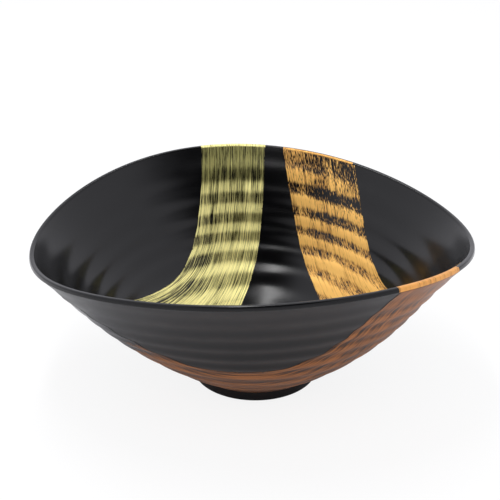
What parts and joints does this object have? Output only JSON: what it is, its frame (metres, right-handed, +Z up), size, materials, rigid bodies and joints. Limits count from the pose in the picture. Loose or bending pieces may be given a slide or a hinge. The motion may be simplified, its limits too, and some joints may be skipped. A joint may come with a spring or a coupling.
{
  "type": "lacquered serving bowl",
  "caption": "Wide serving bowl on a low round foot, with a turned flaring wall and a proud lip that dips at its ends, in black lacquer with brushed metallic strokes.",
  "frame": {"origin": "on the table, under the middle of the rim's outline", "axes": "+X along the rim's long way, towards the higher of the dipping ends; +Y away from the side where the copper stroke comes over the lip; +Z up out of the bowl"},
  "size_m": [0.2998, 0.2823, 0.1247],
  "materials": {
    "wood_resin": "bare moulded wood resin, hidden under the lacquer",
    "black_lacquer": "satin black lacquer",
    "gold_paint": "pale gold powder brushed on in fine dry streaks",
    "ochre_paint": "ochre gold powder brushed on in fine dry streaks",
    "copper_paint": "copper powder brushed on in fine dry streaks"
  },
  "bodies": {
    "root": {"bowl_core": "wood_resin", "rim_lip": "black_lacquer", "foot_ring": "wood_resin", "inner_lacquer": "black_lacquer", "outer_lacquer": "black_lacquer", "foot_lacquer": "black_lacquer", "recess_lacquer": "black_lacquer", "gold_stroke": "gold_paint", "gold_lip_stroke": "gold_paint", "ochre_stroke": "ochre_paint", "ochre_lip_stroke": "ochre_paint", "copper_stroke": "copper_paint", "copper_lip_stroke": "copper_paint"}
  },
  "joints": []
}
